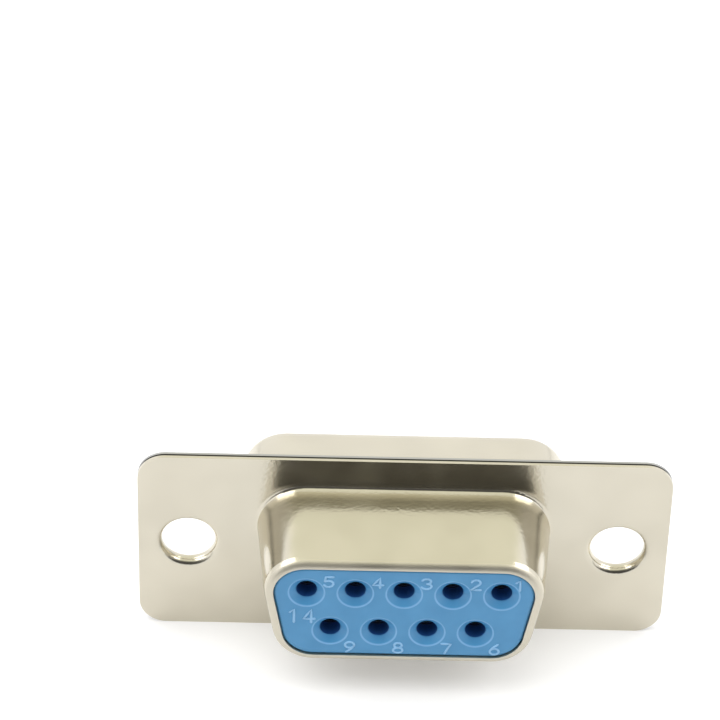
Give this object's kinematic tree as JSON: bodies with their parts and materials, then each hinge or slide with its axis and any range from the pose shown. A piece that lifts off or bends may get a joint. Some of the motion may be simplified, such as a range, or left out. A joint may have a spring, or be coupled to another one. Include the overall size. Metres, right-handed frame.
{
  "type": "d-sub connector",
  "caption": "D-shaped cable connector, socket side: drawn steel flange and nose around a moulded insulator, with solder cups behind.",
  "frame": {"origin": "centre of the flange on its front face, midway between the two screw holes", "axes": "+X along the flange, -Y in the mating direction, +Z towards the wide side of the D"},
  "size_m": [0.0308, 0.0143, 0.0126],
  "materials": {
    "plated_steel": "satin plated",
    "blue_plastic": "smooth moulded",
    "tinned_alloy": "bright tin plating"
  },
  "bodies": {
    "root": {"front_shell": "plated_steel", "rear_shell": "plated_steel", "front_insulator": "blue_plastic", "rear_insulator": "blue_plastic", "contact_1": "tinned_alloy", "contact_2": "tinned_alloy", "contact_3": "tinned_alloy", "contact_4": "tinned_alloy", "contact_5": "tinned_alloy", "contact_6": "tinned_alloy", "contact_7": "tinned_alloy", "contact_8": "tinned_alloy", "contact_9": "tinned_alloy"}
  },
  "joints": []
}
